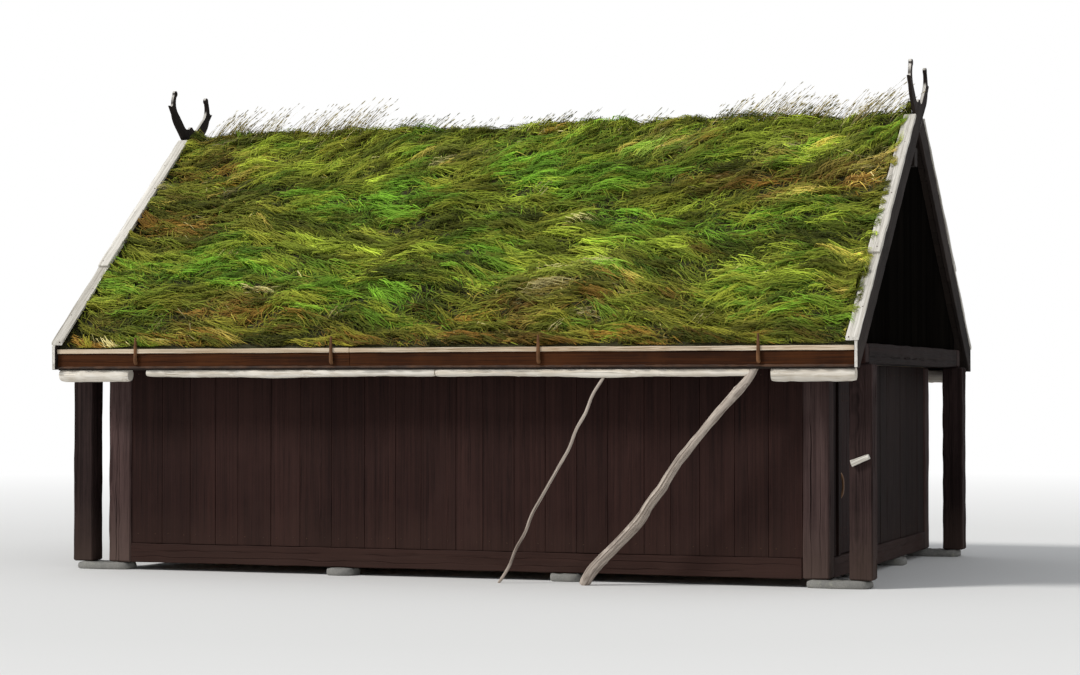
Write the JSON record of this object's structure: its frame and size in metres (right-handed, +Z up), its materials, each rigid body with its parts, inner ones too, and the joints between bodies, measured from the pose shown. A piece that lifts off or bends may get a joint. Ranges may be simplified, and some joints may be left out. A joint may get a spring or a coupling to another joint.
{
  "type": "timber house with a turf roof",
  "caption": "Small gabled house with a thick turf roof, tarred upright plank walls, porch posts, pale verge boards that cross in carved horns, and props under the eave",
  "frame": {"origin": "centre of the house's plan, on the ground", "axes": "X runs along the ridge towards the gable with the door, Y runs from the front wall to the back wall, Z is up"},
  "size_m": [8.54, 6.1, 5.2768],
  "materials": {
    "stone": "flat grey field stones, rough",
    "tarred_wood": "dark red-brown tarred planks and beams, matt",
    "post_wood": "weathered tarred timber, grey-brown",
    "inside_wood": "bare sawn pine, matt",
    "bark": "layers of birch bark",
    "turf": "earth and roots under long wind-combed grass",
    "brown_board": "oiled brown board",
    "weathered_wood": "bare weathered wood, pale grey",
    "black_tar": "boards tarred nearly black",
    "door_wood": "dark red tarred planks"
  },
  "bodies": {
    "root": {"foundation_stones": "stone", "front_sill": "tarred_wood", "back_sill": "tarred_wood", "gable_sills": "tarred_wood", "corner_posts": "post_wood", "wall_posts": "inside_wood", "front_wall": "tarred_wood", "back_wall": "tarred_wood", "left_wall": "tarred_wood", "right_wall_front_part": "tarred_wood", "right_wall_back_part": "tarred_wood", "gable_peaks": "tarred_wood", "wall_plates": "tarred_wood", "tie_beams": "inside_wood", "king_posts": "inside_wood", "ridge_beam": "inside_wood", "rafters_front": "inside_wood", "rafters_back": "inside_wood", "roof_boards_front": "inside_wood", "roof_boards_back": "inside_wood", "birch_bark_front": "bark", "birch_bark_back": "bark", "turf_front": "turf", "turf_back": "turf", "eave_boards": "brown_board", "eave_laths": "weathered_wood", "hewn_eave_logs": "weathered_wood", "slender_eave_logs": "weathered_wood", "eave_hooks": "post_wood", "porch_posts": "post_wood", "porch_beams": "tarred_wood", "pediments": "black_tar", "verge_boards_lower": "weathered_wood", "verge_boards_upper_front": "weathered_wood", "verge_boards_upper_back": "post_wood", "verge_caps_lower": "weathered_wood", "verge_caps_upper": "weathered_wood", "post_wedge": "weathered_wood", "raking_prop": "weathered_wood", "thin_prop": "weathered_wood", "door_jambs": "tarred_wood", "door_lintel": "tarred_wood", "door_leaf": "door_wood", "floor_joists": "inside_wood", "floor_boards": "inside_wood"}
  },
  "joints": []
}
